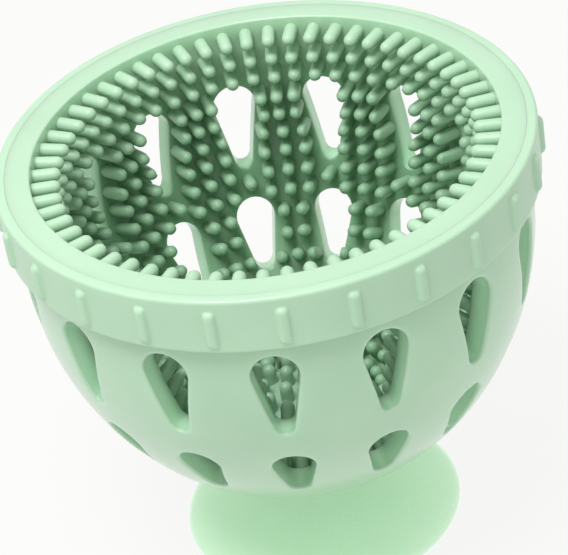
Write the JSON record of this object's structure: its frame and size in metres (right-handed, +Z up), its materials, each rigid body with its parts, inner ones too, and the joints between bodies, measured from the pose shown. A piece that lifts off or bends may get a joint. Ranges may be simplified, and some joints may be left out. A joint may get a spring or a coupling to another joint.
{
  "type": "paw washing cup",
  "caption": "Soft slotted cup lined with bristles that turns on a suction foot, for washing a dog's paw.",
  "frame": {"origin": "centre of the foot's underside, on the surface it stands on", "axes": "+Z up along the bowl's and the pivot's axis; -Y towards the drain slots at azimuth 0"},
  "size_m": [0.1108, 0.111, 0.0962],
  "materials": {
    "bowl_silicone": "satin moulded mint-green silicone",
    "foot_silicone": "smooth, slightly translucent pale green silicone",
    "pad_silicone": "satin moulded green silicone",
    "ring_plastic": "satin mint-green plastic, moulded in the bowl's colour",
    "hub_plastic": "satin pale green plastic",
    "washer_nylon": "smooth off-white nylon",
    "stainless": "fine turned stainless steel"
  },
  "bodies": {
    "foot": {"suction_foot": "foot_silicone", "swivel_post": "hub_plastic", "swivel_washer": "washer_nylon", "pivot_washer": "stainless", "pivot_screw": "stainless"},
    "bowl": {"bristle_bowl": "bowl_silicone", "swivel_hub": "hub_plastic", "clamp_plate": "stainless", "clamp_screw_1": "stainless", "clamp_screw_2": "stainless", "clamp_screw_3": "stainless"},
    "ring": {"grip_ring": "ring_plastic"},
    "pad": {"floor_pad": "pad_silicone"}
  },
  "joints": [
    {"name": "bowl_turn", "type": "hinge", "parent": "foot", "child": "bowl", "pos_m": [0, 0, 0.0138], "axis": [0, 0, 1], "continuous": true},
    {"name": "ring_lift", "type": "slide", "parent": "bowl", "child": "ring", "axis": [0, 0, 1], "range_m": [0, 0.03]},
    {"name": "pad_lift", "type": "slide", "parent": "bowl", "child": "pad", "axis": [0, 0, 1], "range_m": [0, 0.08]}
  ]
}
